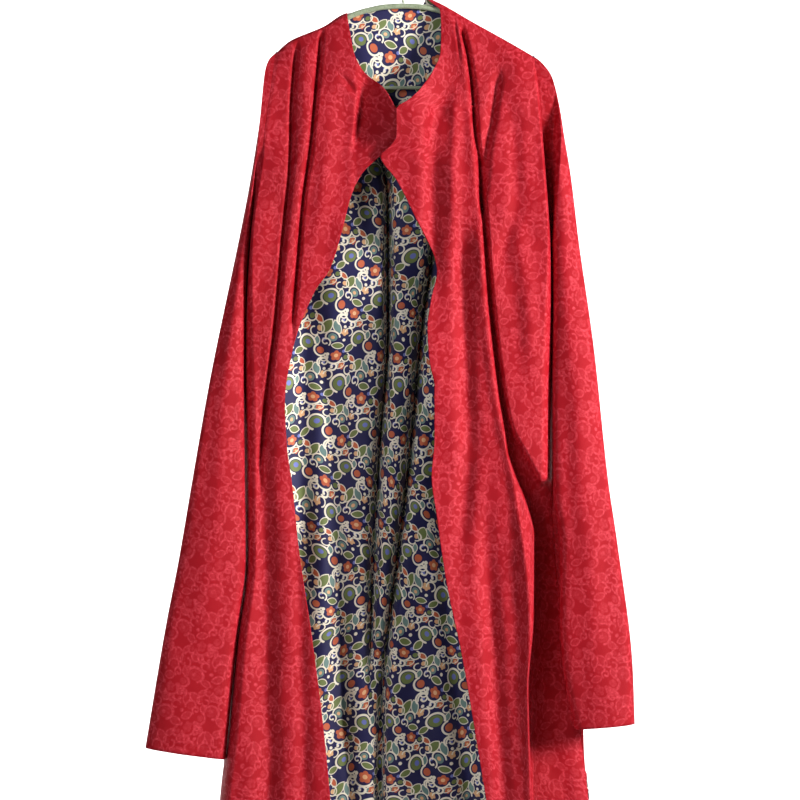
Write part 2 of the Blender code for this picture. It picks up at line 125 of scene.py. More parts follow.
def bump(tree, height, distance, strength=1.0):
    """A normal from a height between 0 and 1, which stands for this distance."""
    node = tree.nodes.new("ShaderNodeBump")
    node.inputs["Strength"].default_value = strength
    node.inputs["Distance"].default_value = distance
    feed(tree, node.inputs["Height"], height)
    return node.outputs["Normal"]


def new_material(name, **settings):
    """A material with its Principled shader's own values set."""
    made = bpy.data.materials.new(name)
    made.use_nodes = True
    shader = made.node_tree.nodes["Principled BSDF"]
    for socket, value in settings.items():
        shader.inputs[socket.replace("_", " ")].default_value = value
    return made, made.node_tree, shader


def placed(name, mesh, *finishes):
    made = bpy.data.objects.new(name, mesh)
    scene.collection.objects.link(made)
    for finish in finishes:
        mesh.materials.append(finish)
    return made


hanger_paint, tree, shader = new_material("hanger_paint", Roughness=0.34, Coat_Weight=0.25, Coat_Roughness=0.2)
place = tree.nodes.new("ShaderNodeTexCoord").outputs["Object"]
blotch = noise(tree, place, 60, 3)
scuff = number(tree, "MULTIPLY", number(tree, "POWER", noise(tree, place, 420, 4), 3), 1.6)
paint = mixed(tree, blotch, linear(140, 152, 124), linear(176, 186, 158))
paint = mixed(tree, scuff, paint, linear(90, 100, 78))
feed(tree, shader.inputs["Base Color"], paint)
feed(tree, shader.inputs["Normal"], bump(tree, blotch, 0.0002, 0.5))


def smooth_path(points, step):
    """Points every few millimetres on a smooth path through the given ones."""
    points = np.array(points, float)
    run = np.concatenate([[0], np.cumsum(np.linalg.norm(np.diff(points, axis=0), axis=1))])
    at = np.linspace(0, run[-1], int(run[-1] / step) + 2)
    rows = {"run": run, "x": points[:, 0], "drop": points[:, 1]}
    return np.stack([along(rows, "x", at, key="run"), along(rows, "drop", at, key="run")], axis=1)


def rod(name, points, radius, node, sides=20, step=2.5):
    """A round bar along a path in the hanger's plane, its ends rounded over."""
    path = smooth_path(points, step)
    way = np.gradient(path, axis=0)
    way /= np.linalg.norm(way, axis=1, keepdims=True)
    path = np.concatenate([path[:1], path[:1], path, path[-1:], path[-1:]])
    way = np.concatenate([way[:1], way[:1], way, way[-1:], way[-1:]])
    width = np.full(len(path), radius)
    width[[0, -1]] = radius * 0.45
    width[[1, -2]] = radius * 0.82
    path[2] += way[2] * radius * 0.35
    path[1] += way[1] * radius * 0.1
    path[-3] -= way[-3] * radius * 0.35
    path[-2] -= way[-2] * radius * 0.1
    turn = np.linspace(0, 2 * math.pi, sides, endpoint=False)
    ring_x = path[:, :1] - way[:, 1:] * width[:, None] * np.cos(turn)
    ring_drop = path[:, 1:] + way[:, :1] * width[:, None] * np.cos(turn)
    ring_y = width[:, None] * np.sin(turn)
    grid = np.stack([ring_x, ring_y, -ring_drop], axis=-1) * MM
    rows = len(path)
    number_of = np.arange(rows * sides).reshape(rows, sides)
    beside = np.roll(number_of, -1, axis=1)
    faces = np.stack([number_of[:-1], beside[:-1], beside[1:], number_of[1:]], axis=-1).reshape(-1, 4).tolist()
    faces += [number_of[0, ::-1].tolist(), number_of[-1].tolist()]
    mesh = bpy.data.meshes.new(name)
    mesh.from_pydata(grid.reshape(-1, 3).tolist(), [], faces)
    mesh.shade_smooth()
    made = placed(name, mesh, hanger_paint)
    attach(made, "root")
    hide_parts(node)
    return made


def under_cloth(shoulder, x):
    here, beside = along(shoulder, "drop", np.array([x, x + 1.0]), key="x")
    return here + BAR_UNDER_CLOTH * math.hypot(1, beside - here)


foot_drop = LOWER_BAR_DROP - LOWER_BAR_RADIUS - SOLID_GAP
arms = [(-174, foot_drop), (-174, 176), (-177.5, 166), (-178.5, 155), (-174, 144)]
arms += [(x, under_cloth(SHOULDER_LEFT, x)) for x in (-164, -148, -132, -116, -99, -84)]
arms += [(-66, 82.5), (-48, 77.5), (-27, 73.5), (0, 72), (27, 73.5), (48, 77.5), (66, 83.5)]
arms += [(x, under_cloth(SHOULDER_RIGHT, x)) for x in (84, 100, 116, 132, 150, 168)]
arms += [(177, 149), (180, 158), (178.5, 168), (174, 177), (174, foot_drop)]
rod("hanger_arms_tube", arms, BAR_RADIUS, "hanger_arms")
rod("hanger_lower_bar", [(-179, LOWER_BAR_DROP), (179, LOWER_BAR_DROP)], LOWER_BAR_RADIUS, "hanger_bar")
centre_radius = HOOK_INNER_RADIUS + HOOK_WIRE_RADIUS
hook = [
    (-centre_radius * math.cos(turn), HOOK_INNER_RADIUS - centre_radius * math.sin(turn))
    for turn in np.radians(np.arange(-20, 216, 12))
]
arc_end = hook[-1][1]
hook += [(6, arc_end + 7), (1.5, arc_end + 12), (0, arc_end + 18), (0, 72 - BAR_RADIUS - SOLID_GAP)]
rod("hanger_hook_wire", hook, HOOK_WIRE_RADIUS, "hanger_hook")

# Back of the robe
# One width of red silk jacquard from side seam to side seam. It turns over the hanger's arms into the fronts, and
# its folds fall from the shoulders and the middle of the back to the hem.

HEM_DROP = 1385
BACK_CLOTH, LINING_CLOTH, CLOTH = 1.2, 1.0, 1.6
FRONT_TURN, BACK_TURN = 6.4, 7.4  # radius of each face's turn over the arms
ARMPIT_DROP = 420
ARMHOLE_HALF_DEPTH = 15
MIN_ROUNDING = 3
FOLD_RAMP = 28  # below the shoulder line, folds take this long to come in
SHOULDERS_AND_NECK = table(
    "x drop",
    (-184, 140),
    (-164, 123),
    (-116, 102),
    (-82, 82),
    (-62, 79),
    (-30, 74),
    (0, 72),
    (27, 73),
    (34, 60),
    (49, 66),
    (106, 98),
    (151, 123),
    (190, 146),
)
# Where the body ends at each side: the armhole down to ARMPIT_DROP, then the side seam.
SIDE_LEFT = table(
    "drop x seam_y",
    (140, -184, 0),
    (280, -203, 0),
    (420, -222, 0),
    (620, -232, 10),
    (874, -231, 20),
    (993, -244, 22),
    (1137, -257, 22),
    (1224, -267, 22),
    (1385, -276, 22),
)
SIDE_RIGHT = table(
    "drop x seam_y",
    (146, 190, 0),
    (200, 198, 0),
    (283, 205, 0),
    (420, 214, 0),
    (568, 217, 7),
    (800, 218, 18),
    (960, 232, 22),
    (1123, 258, 24),
    (1224, 271, 25),
    (1385, 281, 25),
)
# How far each face stands from the hanger's plane, beyond its turn over the arm.
DEPTH = table(
    "drop front back",
    (60, 5, 0),
    (150, 15, 4),
    (300, 22, 12),
    (500, 29, 22),
    (800, 38, 30),
    (1100, 44, 36),
    (1385, 48, 40),
)

# A fold of the back that stands out further than this flattens, and none passes it by more than the room.
BACK_EASES, BACK_ROOM = 56, 15


def ramp(value):
    """0 to 1 with level ends."""
    t = np.clip(value, 0, 1)
    return t * t * (3 - 2 * t)


def spread(share, *stations):
    """x between stations, each given as the share of the columns it lies at and its own x."""
    x = stations[0][1]
    for (here, x_here), (there, x_there) in zip(stations, stations[1:]):
        x = x + (x_there - x_here) * np.clip((share - here) / (there - here), 0, 1)
    return x


def drops_of(x_of, shoulder, columns, rows):
    """Drop of each point: columns start on the shoulder line and end at the hem."""
    top = np.full(columns.shape, 110.0)
    for _ in range(80):
        top = (top + along(shoulder, "drop", x_of(columns, top), key="x")) / 2
    return top, top + (HEM_DROP - top) * rows


def row_shares(turn_radius, count):
    """Shares of the panel's length: close rows for the turn over the arm, then even ones."""
    length = HEM_DROP - 110
    turn = [turn_radius * (1 - math.cos(math.radians(angle))) / length for angle in range(0, 90, 10)]
    return np.concatenate([turn, np.linspace(turn_radius / length, 1, count)])[:, None]


def fold(depth, left, right, fade_in, fade_out, *path):
    """One fold: its depth, its two flanks' widths, how fast it comes and goes, and its path down the cloth."""
    flanks, fades = (left, right), (fade_in, fade_out)
    return {"depth": depth, "flanks": flanks, "fades": fades, "path": table("drop x", *path)}


def fold_depth(folds, x, drop, below_top):
    """Sum of the folds at each point. A trough's depth is above 0 and a ridge's is below it."""
    total = np.zeros_like(x)
    for each in folds:
        path, (left, right), (fade_in, fade_out) = each["path"], each["flanks"], each["fades"]
        first, last = path["drop"][0], path["drop"][-1]
        aside = x - along(path, "x", drop)
        fade = ramp((drop - first + fade_in / 2) / fade_in) * ramp((last - drop + fade_out / 2) / fade_out)
        total += each["depth"] * fade * np.exp(-((aside / np.where(aside < 0, left, right)) ** 2))
    return total * ramp(below_top / FOLD_RAMP)


def ripple(across, down, seed, height, shortest, longest, slant=0.3):
    """Small uneven waves that run mostly down the cloth."""
    chance = np.random.default_rng(seed)
    total = np.zeros(np.broadcast(across, down).shape)
    count = 18
    for _ in range(count):
        length = chance.uniform(shortest, longest)
        angle = chance.normal(0, slant)
        turn = (across * math.cos(angle) + down * math.sin(angle)) / length + chance.uniform(0, 1)
        total += length / longest * np.sin(2 * math.pi * turn)
    return height * total / math.sqrt(count / 2)


def turn_depth(radius, below_top):
    """How far a face stands out while it turns over an arm of the hanger."""
    left = 1 - np.clip(below_top / radius, 0, 1)
    return radius * np.sqrt(1 - left * left)


def face_depth(face, radius, drop, below_top, trough):
    """How far a face stands from the hanger's plane. Beside the hanger no trough reaches its bars."""
    turn = turn_depth(radius, below_top)
    depth = turn + along(DEPTH, face, drop) * (1 - np.exp(-below_top / 35))
    clear = turn - 1.9 * ramp((below_top - 11) / 6) - 60 * ramp((drop - 205) / 200)
    return np.maximum(depth - trough, clear)


# How far a body panel turns in at its side: 0 leaves it flush with the sleeve, 1 makes a deep valley at the seam.
BEND_LEFT = table("drop bend", (140, 0.2), (258, 0.2), (305, 0.6), (420, 1.0))
BEND_RIGHT = table("drop bend", (146, 0.2), (165, 0.5), (190, 1.0), (420, 1.0))
VALLEY_LEFT = table("drop share", (140, 1.0), (258, 0.95), (310, 0.6), (420, 0.4))
VALLEY_RIGHT = table("drop share", (146, 0.8), (180, 0.2), (215, -0.5), (380, -0.4), (420, 0.1))
SEAM_TAIL = 10.0  # below the armpit the side seam lies flat behind the sleeve


def armhole_half_depth(drop, top):
    t = np.clip((drop - top) / (ARMPIT_DROP - top), 0, 1)
    return ARMHOLE_HALF_DEPTH * np.sqrt(4 * t * (1 - t))


def armhole_front(side, drop):
    """Depth of the front half of an armhole."""
    shares = VALLEY_LEFT if side["x"][0] < 0 else VALLEY_RIGHT
    return armhole_half_depth(drop, side["drop"][0]) * along(shares, "share", drop)


def side_radius(drop):
    return 5 + 15 * ramp((drop - 380) / 260)


def turned(face, x_side, y_side, drop, turn, outwards):
    """Rounds the end of a section from its face to the seam: turn runs from 0 to 1."""
    x_face, y_face = face
    near_side = ramp(1 - np.abs(x_face - x_side) / 50)
    y_clear = outwards * np.maximum(outwards * y_face, outwards * y_side + MIN_ROUNDING)
    y_face = y_face + (y_clear - y_face) * near_side
    bend = np.where(x_side < 0, along(BEND_LEFT, "bend", drop), along(BEND_RIGHT, "bend", drop)) * math.pi / 2
    angle = np.minimum(turn / 0.8, 1) * bend
    behind_sleeve = ramp((drop - ARMPIT_DROP + 10) / 40) * ramp((1190 - drop) / 120)
    tail = SEAM_TAIL * behind_sleeve * ramp((turn - 0.75) / 0.25)
    x = x_side - np.sign(x_side) * (side_radius(drop) * (1 - np.sin(angle) / np.sin(bend)) - tail)
    y = y_side + (y_face - y_side) * np.cos(angle)
    return np.where(turn > 0, x, x_face), np.where(turn > 0, y, y_face)


FOLDS_BACK = (
    fold(46, 7, 8, 60, 300, (285, -34), (346, -23), (542, -22), (718, -35), (905, -45), (1010, -48)),
    fold(
        *(46, 7, 8, 60, 90),
        *((410, 44), (448, 41), (490, 34), (544, 27), (636, 18), (704, 12)),
        *((905, -12), (1064, -30), (1225, -35), (1450, -37)),
    ),
    fold(-9, 26, 26, 150, 300, (420, 0), (900, -18), (1385, 0)),
    fold(12, 14, 14, 160, 100, (700, 48), (1010, 70), (1385, 118)),
    fold(10, 12, 14, 160, 160, (560, -118), (900, -96), (1385, -70)),
    fold(14, 24, 24, 150, 200, (150, -135), (825, -150), (1500, -180)),
    fold(15, 24, 24, 150, 200, (170, 140), (835, 150), (1500, 175)),
    fold(10, 20, 20, 150, 200, (560, 88), (1030, 96), (1500, 112)),
    fold(9, 18, 18, 150, 200, (600, -88), (1050, -96), (1500, -112)),
)


def back_points(columns, rows):
    """Outer points of the back, from the left side to the right one."""
    at_side = 0.1

    def ends_of(drop):
        left = along(SIDE_LEFT, "x", drop) + side_radius(drop)
        return left, along(SIDE_RIGHT, "x", drop) - side_radius(drop)

    def turn_of(way):
        return np.clip((way - 0.5 + at_side) / at_side, 0, 1)

    def x_of(share, drop):
        left, right = ends_of(drop)
        x = spread(share, (at_side, left), (1 - at_side, right))
        turn = turn_of(np.abs(share - 0.5))
        return x + np.sign(share - 0.5) * side_radius(drop) * np.sin(turn * math.pi / 2)

    share = np.linspace(0, 1, columns)[None, :]
    top, drop = drops_of(x_of, SHOULDERS_AND_NECK, share, rows)
    x = x_of(share, drop)
    in_neck = ramp((x + 84) / 9) * ramp((38 - x) / 9)
    below_top = drop - top + 2 * BACK_TURN * in_neck
    x_face = np.clip(x, *ends_of(drop))
    trough = fold_depth(FOLDS_BACK, x_face, drop, below_top)
    trough += ripple(x_face, drop, 11, 1.1, 30, 120) * ramp(below_top / FOLD_RAMP)
    y = face_depth("back", BACK_TURN, drop, below_top, -trough)
    y = np.where(y > BACK_EASES, BACK_EASES + BACK_ROOM * np.tanh((y - BACK_EASES) / BACK_ROOM), y)
    for sign, side in ((-1, SIDE_LEFT), (1, SIDE_RIGHT)):
        turn = turn_of(sign * (share - 0.5))
        y_side = along(side, "seam_y", drop) + armhole_half_depth(drop, side["drop"][0])
        x, y = turned((x, y), along(side, "x", drop), y_side, drop, turn, 1)
    return np.stack([x, y, -drop], axis=-1)


def normals_of(points, closed=False):
    """Unit normals of a grid of points, along the way from its columns to its rows by the right-hand rule."""
    if closed:
        across = np.roll(points, -1, axis=1) - np.roll(points, 1, axis=1)
    else:
        across = np.gradient(points, axis=1)
    normal = np.cross(across, np.gradient(points, axis=0))
    return normal / np.linalg.norm(normal, axis=-1, keepdims=True)


def eased_down(values, reach=30):
    """Values averaged down the cloth, so that its pattern shears slowly where a fold comes in."""
    weights = np.hanning(2 * reach + 3)[1:-1]
    padded = np.pad(values, ((reach, reach), (0, 0)), mode="edge")
    rows = len(values)
    return sum(weight * padded[k : k + rows] for k, weight in enumerate(weights)) / weights.sum()


def cloth_place(points, grain, lean, closed):
    """Where each point lies on the flat cloth, in metres. Its grain leans to the right by this many degrees."""
    if closed:
        points = np.concatenate([points, points[:, :1]], axis=1)
    lean = math.radians(lean)
    across = points @ (math.cos(lean), 0, math.sin(lean))
    step = np.hypot(np.diff(across, axis=1), np.diff(points[..., 1], axis=1))
    run = np.concatenate([np.zeros((len(points), 1)), np.cumsum(step, axis=1)], axis=1)
    run = eased_down(run)
    way = np.sign(across[:, points.shape[1] // 4] - across[:, 0])[:, None]
    across = across[:, grain : grain + 1] + way * (run - run[:, grain : grain + 1])
    return np.stack([across, points @ (-math.sin(lean), 0, math.cos(lean))], axis=-1) * MM


def cloth(name, points, thickness, outer, inner, grain, lean=0, closed=False, flip=False):
    """A thin shell of cloth on a grid of points, with the cloth's own places as its UV map."""
    rows, columns = points.shape[:2]
    index = np.arange(rows * columns).reshape(rows, columns)
    place_of = cloth_place(points, grain, lean, closed)
    corner = np.arange(rows * place_of.shape[1]).reshape(rows, -1)
    if closed:
        index = np.concatenate([index, index[:, :1]], axis=1)
    order = (0, 3, 2, 1) if flip else (0, 1, 2, 3)
    around = [(slice(None, -1), slice(None, -1)), (slice(None, -1), slice(1, None))]
    around += [(slice(1, None), slice(1, None)), (slice(1, None), slice(None, -1))]
    faces = np.stack([index[around[k]] for k in order], axis=-1).reshape(-1, 4)
    corners = np.stack([corner[around[k]] for k in order], axis=-1).reshape(-1)
    mesh = bpy.data.meshes.new(name)
    mesh.from_pydata((points * MM).reshape(-1, 3).tolist(), [], faces.tolist())
    places = mesh.uv_layers.new(name="cloth")
    places.data.foreach_set("uv", place_of.reshape(-1, 2)[corners].astype(np.float32).reshape(-1))
    mesh.shade_smooth()
    made = placed(name, mesh, outer, inner)
    wall = made.modifiers.new("thickness", "SOLIDIFY")
    wall.thickness = thickness * MM
    wall.offset = -1
    wall.material_offset = 1
    wall.material_offset_rim = 0
    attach(made, "root")
    return made


def new_group(name, inputs, outputs):
    """An empty node group, with the sockets that it takes and gives."""
    group = bpy.data.node_groups.new(name, "ShaderNodeTree")
    for way, sockets in (("INPUT", inputs), ("OUTPUT", outputs)):
        for socket, kind in sockets.items():
            group.interface.new_socket(socket, in_out=way, socket_type="NodeSocket" + kind)
    takes = group.nodes.new("NodeGroupInput").outputs
    return group, takes, group.nodes.new("NodeGroupOutput").inputs


def use_group(tree, group, values):
    node = tree.nodes.new("ShaderNodeGroup")
    node.node_tree = group
    for socket, value in values.items():
        feed(tree, node.inputs[socket], value)
    return node.outputs


def vector(tree, operation, *values):
    """A Vector Math node's result."""
    node = tree.nodes.new("ShaderNodeVectorMath")
    node.operation = operation
    for socket, value in zip(node.inputs, values):
        feed(tree, socket, value)
    gives_number = operation in ("LENGTH", "DISTANCE", "DOT_PRODUCT")
    return node.outputs["Value" if gives_number else "Vector"]


def parts_of(tree, value):
    node = tree.nodes.new("ShaderNodeSeparateXYZ")
    feed(tree, node.inputs[0], value)
    return node.outputs


def joined(tree, x, y):
    node = tree.nodes.new("ShaderNodeCombineXYZ")
    feed(tree, node.inputs["X"], x)
    feed(tree, node.inputs["Y"], y)
    return node.outputs[0]


def in_own_place(tree, takes):
    """The place seen from a motif's centre, with its heading along x."""
    node = tree.nodes.new("ShaderNodeVectorRotate")
    node.rotation_type = "Z_AXIS"
    feed(tree, node.inputs["Vector"], vector(tree, "SUBTRACT", takes["Place"], takes["Centre"]))
    feed(tree, node.inputs["Angle"], number(tree, "MULTIPLY", takes["Heading"], -math.pi / 180))
    return node.outputs[0]


# The woven design: every motif is given by its distance, in millimetres, below 0 inside it.
MOTIF = {"Place": "Vector", "Centre": "Vector", "Heading": "Float"}
DISTANCE = {"Distance": "Float"}
PETALS = 5

arc_stroke, takes, gives = new_group(
    "arc_stroke", {**MOTIF, "Radius": "Float", "Half Span": "Float", "Half Width": "Float"}, DISTANCE
)
tree = arc_stroke
own = in_own_place(tree, takes)
x, y, _ = parts_of(tree, own)
aside = number(tree, "ABSOLUTE", y)
half_span = number(tree, "MULTIPLY", takes["Half Span"], math.pi / 180)
within = number(tree, "LESS_THAN", number(tree, "ARCTAN2", aside, x), half_span)
to_ring = number(tree, "ABSOLUTE", number(tree, "SUBTRACT", vector(tree, "LENGTH", own), takes["Radius"]))
end_x = number(tree, "MULTIPLY", number(tree, "COSINE", half_span), takes["Radius"])
end_y = number(tree, "MULTIPLY", number(tree, "SINE", half_span), takes["Radius"])
to_end = vector(tree, "DISTANCE", joined(tree, x, aside), joined(tree, end_x, end_y))
nearer = number(tree, "MULTIPLY_ADD", within, number(tree, "SUBTRACT", to_ring, to_end), to_end)
feed(tree, gives["Distance"], number(tree, "SUBTRACT", nearer, takes["Half Width"]))

curl_stroke, takes, gives = new_group(
    "curl_stroke", {**MOTIF, "Radius": "Float", "Hand": "Float", "Half Width": "Float"}, DISTANCE
)
tree = curl_stroke
own = in_own_place(tree, takes)
x, y, _ = parts_of(tree, own)
angle = number(tree, "ARCTAN2", number(tree, "MULTIPLY", y, takes["Hand"]), x)
wound = number(tree, "MULTIPLY_ADD", angle, 0.5 / math.pi, 0.5)
radius = number(tree, "MULTIPLY", takes["Radius"], number(tree, "MULTIPLY_ADD", wound, -0.62, 1))
to_ring = number(tree, "ABSOLUTE", number(tree, "SUBTRACT", vector(tree, "LENGTH", own), radius))
line = number(tree, "SUBTRACT", to_ring, takes["Half Width"])
knob_x = number(tree, "MULTIPLY", takes["Radius"], -0.38)
to_knob = vector(tree, "DISTANCE", own, joined(tree, knob_x, 0.0))
knob = number(tree, "SUBTRACT", to_knob, number(tree, "MULTIPLY", takes["Half Width"], 1.5))
feed(tree, gives["Distance"], number(tree, "MINIMUM", line, knob))

leaf_shape, takes, gives = new_group("leaf_shape", {**MOTIF, "Length": "Float", "Width": "Float"}, DISTANCE)
tree = leaf_shape
own = in_own_place(tree, takes)
x, y, _ = parts_of(tree, own)
half_length = number(tree, "DIVIDE", takes["Length"], 2)
half_width = number(tree, "DIVIDE", takes["Width"], 2)
squares = number(tree, "MULTIPLY", half_width, half_width)
squares = number(tree, "MULTIPLY_ADD", half_length, half_length, squares)
radius = number(tree, "DIVIDE", squares, takes["Width"])
offset = number(tree, "SUBTRACT", radius, half_width)
beyond = joined(tree, x, number(tree, "ADD", number(tree, "ABSOLUTE", y), offset))
feed(tree, gives["Distance"], number(tree, "SUBTRACT", vector(tree, "LENGTH", beyond), radius))

rosette_shape, takes, gives = new_group("rosette_shape", {**MOTIF, "Radius": "Float"}, DISTANCE)
tree = rosette_shape
own = in_own_place(tree, takes)
x, y, _ = parts_of(tree, own)
half_petals = number(tree, "MULTIPLY", number(tree, "ARCTAN2", y, x), PETALS / 2)
petals = number(tree, "ABSOLUTE", number(tree, "COSINE", half_petals))
radius = number(tree, "MULTIPLY", takes["Radius"], number(tree, "MULTIPLY_ADD", petals, 0.28, 0.72))
feed(tree, gives["Distance"], number(tree, "SUBTRACT", vector(tree, "LENGTH", own), radius))

motif_cell, takes, gives = new_group(
    "motif_cell",
    {"Place": "Vector", "Centre": "Vector", "Width": "Float", "Drop": "Float", "Slip": "Float"},
    {"Place": "Vector"},
)
tree = motif_cell
x, y, _ = parts_of(tree, vector(tree, "SUBTRACT", takes["Place"], takes["Centre"]))
row = number(tree, "ROUND", number(tree, "DIVIDE", y, takes["Drop"]))
y = number(tree, "SUBTRACT", y, number(tree, "MULTIPLY", row, takes["Drop"]))
x = number(tree, "SUBTRACT", x, number(tree, "MULTIPLY", row, takes["Slip"]))
half_width = number(tree, "DIVIDE", takes["Width"], 2)
x = number(tree, "WRAP", x, half_width, number(tree, "MULTIPLY", half_width, -1))
feed(tree, gives["Place"], joined(tree, x, y))

# Millimetres and degrees. Each cluster of motifs repeats on the same slanting lattice from its own centre.
REPEAT = {"Width": 76.0, "Drop": 62.0, "Slip": 31.0}
CLUSTERS = {"scroll": (0, 0), "leaf": (36, 19), "flower": (-5, 39)}
ARCS = (
    ("scroll", 0, 0, 125, 11.5, 128, 1.5),
    ("scroll", 18, -11, 215, 9, 105, 1.3),
    ("scroll", -16, 13, 40, 6, 125, 0.91),
    ("scroll", 13, 16, 200, 5.5, 115, 0.91),
    ("leaf", 1, -11, 95, 9, 95, 1.1),
    ("leaf", -15, 1, 350, 6.5, 110, 0.91),
    ("leaf", 15, 13, 150, 7, 85, 1.2),
    ("flower", -2, 1, 250, 12, 75, 1.2),
    ("flower", 15, -4, 300, 6.5, 120, 0.91),
)
CURLS = (
    ("scroll", -9, 24, 20, 6.0, 1, 1.3),
    ("scroll", 22, -23, 200, 6.5, -1, 0.91),
    ("leaf", -9, -17, 120, 7, 1, 0.99),
    ("flower", -17, -7, 30, 7.5, -1, 1.1),
)
LEAVES = (
    ("leaf", -5, 4, 52, 22, 12, "green"),
    ("leaf", 8, 3, 108, 19, 10, "grey"),
    ("leaf", -16, 13, 140, 15, 8, "russet"),
    ("flower", 3, 17, 165, 18, 10, "green"),
    ("flower", 6, -15, 20, 15, 8, "grey"),
    ("scroll", -15, -13, 35, 17, 10, "green"),
    ("scroll", 15, 4, 75, 13, 8, "grey"),
)
FLOWERS = (
    ("flower", 0, 1, 10, 8.2, "russet"),
    ("leaf", 18, -5, 40, 5.6, "peach"),
    ("scroll", 3, 23, 60, 5.4, "russet"),
)
DOTS = (
    ("scroll", 0, 0, 8.8, "green"),
    ("scroll", 1, 1, 3.8, "blue"),
    ("leaf", 1, -11, 6.0, "grey"),
    ("leaf", 1, -11, 2.6, "peach"),
    ("flower", 15, -4, 3.6, "green"),
    ("scroll", 18, -11, 5.4, "russet"),
    ("leaf", -15, 1, 3.6, "peach"),
    ("scroll", 25, 6, 2.4, "blue"),
    ("scroll", -24, 2, 2.4, "ivory"),
    ("leaf", 19, 3, 2.2, "ivory"),
    ("leaf", 17, 12, 2.6, "blue"),
    ("flower", 12, 6, 2.6, "blue"),
    ("flower", -12, 5, 2.6, "ivory"),
    ("flower", -6, -13, 2.4, "blue"),
)
LEAF_OUTLINE = 0.6  # half the width of the line around a leaf
NO_SHIFT = 1e-8
HAND_DRAWN = 13.0  # how far the whole design wanders, so that no two repeats are quite alike
EYE_SHARE = 0.36  # of a flower's radius
LAYERS = ("Line", "Green", "Grey", "Russet", "Peach", "Blue")

scroll_design, takes, gives = new_group(
    "scroll_design",
    {"Cloth": "Vector", "Softness": "Float", "Line Weight": "Float"},
    {layer: "Float" for layer in LAYERS},
)
tree = scroll_design
in_millimetres = vector(tree, "SCALE", takes["Cloth"])
in_millimetres.node.inputs["Scale"].default_value = 1 / MM
wander = tree.nodes.new("ShaderNodeTexNoise")
wander.noise_dimensions = "2D"
feed(tree, wander.inputs["Vector"], takes["Cloth"])
wander.inputs["Scale"].default_value = 16
wander.inputs["Detail"].default_value = 0
wander = vector(tree, "SUBTRACT", wander.outputs["Color"], (0.5, 0.5, 0.5))
in_millimetres = vector(tree, "MULTIPLY_ADD", wander, (HAND_DRAWN, HAND_DRAWN, 0), in_millimetres)
cells = {}
for cluster, (x, y) in CLUSTERS.items():
    values = {"Place": in_millimetres, "Centre": (x, y, 0), **REPEAT}
    cells[cluster] = use_group(tree, motif_cell, values)["Place"]
drawn = [(0, 0, 0)]
nearest = {}


def draw(layer, distance):
    nearest[layer] = number(tree, "MINIMUM", nearest[layer], distance) if layer in nearest else distance
    drawn.append(distance)


def motif(cluster, x, y, heading, group, **own_values):
    """One motif's distance. Each one waits for the last, since a shader can hold only a few values at a time."""
    place = vector(tree, "MULTIPLY_ADD", drawn[-1], (NO_SHIFT, NO_SHIFT, 0), cells[cluster])
    values = {"Place": place, "Centre": (x, y, 0)}
    if group is None:
        return vector(tree, "DISTANCE", place, (x, y, 0))
    values |= {"Heading": heading} | {name.replace("_", " "): value for name, value in own_values.items()}
    return use_group(tree, group, values)["Distance"]


for cluster, x, y, heading, radius, half_span, half_width in ARCS:
    own_values = {"Radius": radius, "Half_Span": half_span, "Half_Width": half_width}
    draw("Line", motif(cluster, x, y, heading, arc_stroke, **own_values))
for cluster, x, y, heading, radius, hand, half_width in CURLS:
    own_values = {"Radius": radius, "Hand": hand, "Half_Width": half_width}
    draw("Line", motif(cluster, x, y, heading, curl_stroke, **own_values))
for cluster, x, y, heading, length, width, colour in LEAVES:
    distance = motif(cluster, x, y, heading, leaf_shape, Length=length, Width=width)
    draw(colour.capitalize(), distance)
    draw("Line", number(tree, "SUBTRACT", number(tree, "ABSOLUTE", distance), LEAF_OUTLINE))
for cluster, x, y, heading, radius, colour in FLOWERS:
    draw(colour.capitalize(), motif(cluster, x, y, heading, rosette_shape, Radius=radius))
    eye = "Peach" if colour == "russet" else "Russet"
    draw(eye, number(tree, "SUBTRACT", motif(cluster, x, y, 0, None), EYE_SHARE * radius))
for cluster, x, y, radius, colour in DOTS:
    layer = "Line" if colour == "ivory" else colour.capitalize()
    draw(layer, number(tree, "SUBTRACT", motif(cluster, x, y, 0, None), radius))
nearest["Line"] = number(tree, "SUBTRACT", nearest["Line"], takes["Line Weight"])
for layer in LAYERS:
    edge = tree.nodes.new("ShaderNodeMapRange")
    edge.interpolation_type = "SMOOTHSTEP"
    feed(tree, edge.inputs["Value"], nearest[layer])
    feed(tree, edge.inputs["From Min"], takes["Softness"])
    feed(tree, edge.inputs["From Max"], number(tree, "MULTIPLY", takes["Softness"], -1))
    feed(tree, gives[layer], edge.outputs["Result"])

weave, takes, gives = new_group("weave", {"Cloth": "Vector", "Pitch": "Float"}, {"Height": "Float"})
tree = weave
turns = vector(tree, "SCALE", takes["Cloth"])
feed(tree, turns.node.inputs["Scale"], number(tree, "DIVIDE", 2 * math.pi, takes["Pitch"]))
x, y, _ = parts_of(tree, turns)
warp = number(tree, "SINE", number(tree, "ADD", x, number(tree, "MULTIPLY", y, 0.5)))
weft = number(tree, "SINE", y)
height = number(tree, "MULTIPLY_ADD", number(tree, "MULTIPLY", warp, weft), 0.5, 0.5)
feed(tree, gives["Height"], height)

